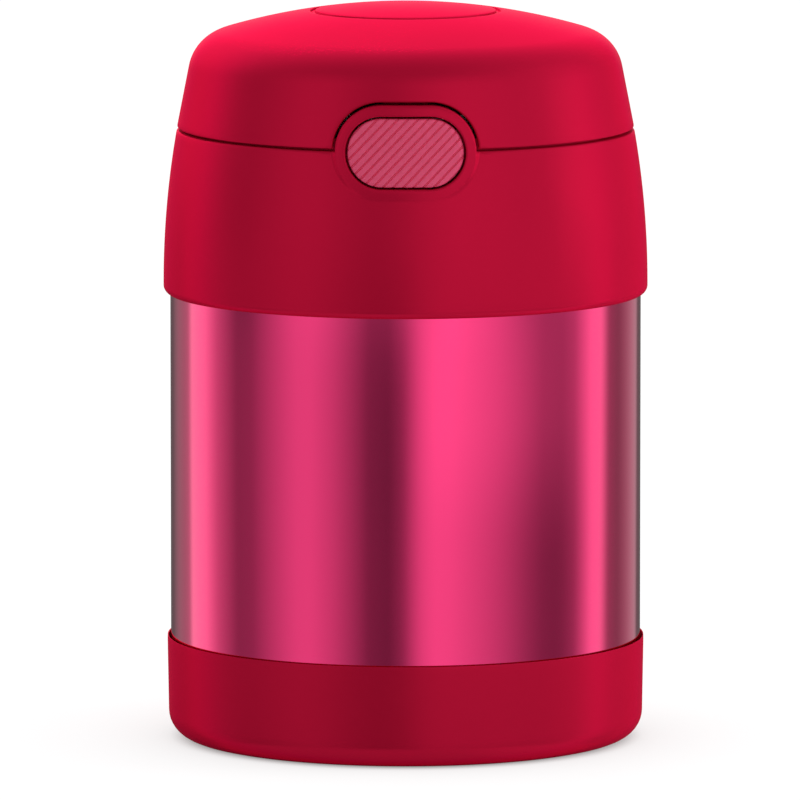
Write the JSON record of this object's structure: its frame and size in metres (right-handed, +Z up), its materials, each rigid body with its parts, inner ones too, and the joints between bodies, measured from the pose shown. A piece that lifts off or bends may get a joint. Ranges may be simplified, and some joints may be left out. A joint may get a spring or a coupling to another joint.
{
  "type": "insulated food jar",
  "caption": "Vacuum-insulated wide-mouth food jar with a screw-on lid, a push-button hinged cover and a folding spoon stored under it.",
  "frame": {"origin": "centre of the foot, on the surface the jar stands on", "axes": "+Z up along the jar's axis, the push button faces -Y and the cover's hinge is at +Y"},
  "size_m": [0.0888, 0.0888, 0.1354],
  "materials": {
    "boot_rubber": "satin crimson boot",
    "pink_metal": "clear pink lacquer over brushed steel",
    "crimson_plastic": "moulded crimson polypropylene, semi-gloss",
    "button_rubber": "soft pink grip surface with slanted grooves",
    "bare_steel": "satin stainless steel",
    "spoon_steel": "polished stainless steel",
    "spring_steel": "bright spring wire",
    "silicone": "translucent white silicone",
    "foam": "white insulating foam"
  },
  "bodies": {
    "jar": {"base_boot": "boot_rubber", "outer_shell": "pink_metal", "outer_bottom": "bare_steel", "inner_liner": "bare_steel", "getter": "spring_steel", "port_seal": "spring_steel"},
    "gasket": {"lid_gasket": "silicone"},
    "lid": {"lid_collar": "crimson_plastic", "inner_lid": "crimson_plastic", "lid_insulation": "foam", "insulation_cap": "crimson_plastic", "spoon_tray": "crimson_plastic", "hinge_pin": "bare_steel", "hinge_spring": "spring_steel", "latch_spring_left": "spring_steel", "latch_spring_right": "spring_steel"},
    "cover": {"cover": "crimson_plastic"},
    "button": {"button": "button_rubber", "latch_slide": "crimson_plastic"},
    "spoon": {"spoon_bowl": "spoon_steel", "spoon_rivet": "spoon_steel"},
    "spoon_handle": {"spoon_handle": "spoon_steel"}
  },
  "joints": [
    {"name": "lid_lift", "type": "slide", "parent": "jar", "child": "gasket", "axis": [0, 0, 1], "range_m": [0, 0.03]},
    {"name": "lid_turn", "type": "hinge", "parent": "gasket", "child": "lid", "pos_m": [0, 0, 0], "axis": [0, 0, 1], "range_deg": [0, 1800]},
    {"name": "cover_hinge", "type": "hinge", "parent": "lid", "child": "cover", "pos_m": [0, 0.04195, 0.1125], "axis": [-1, 0, 0], "range_deg": [0, 110], "deforming": ["hinge_spring"]},
    {"name": "button_press", "type": "slide", "parent": "lid", "child": "button", "axis": [0, 1, 0], "range_m": [0, 0.0025], "stiffness_N_per_m": 600, "springref_m": -0.004, "deforming": ["latch_spring_left", "latch_spring_right"]},
    {"name": "spoon_lift", "type": "slide", "parent": "lid", "child": "spoon", "axis": [0, 0, 1], "range_m": [0, 0.027]},
    {"name": "spoon_fold", "type": "hinge", "parent": "spoon", "child": "spoon_handle", "pos_m": [0.03307, 0, 0.1122], "axis": [0, 1, 0], "range_deg": [0, 180]}
  ],
  "couplings": [
    {"joint": "lid_lift", "follows": "lid_turn", "m_per_rad": 0.00095492},
    {"joint": "spoon_lift", "follows": "cover_hinge", "m_per_rad": 0.014},
    {"joint": "spoon_fold", "follows": "cover_hinge", "ratio": 0.75}
  ]
}
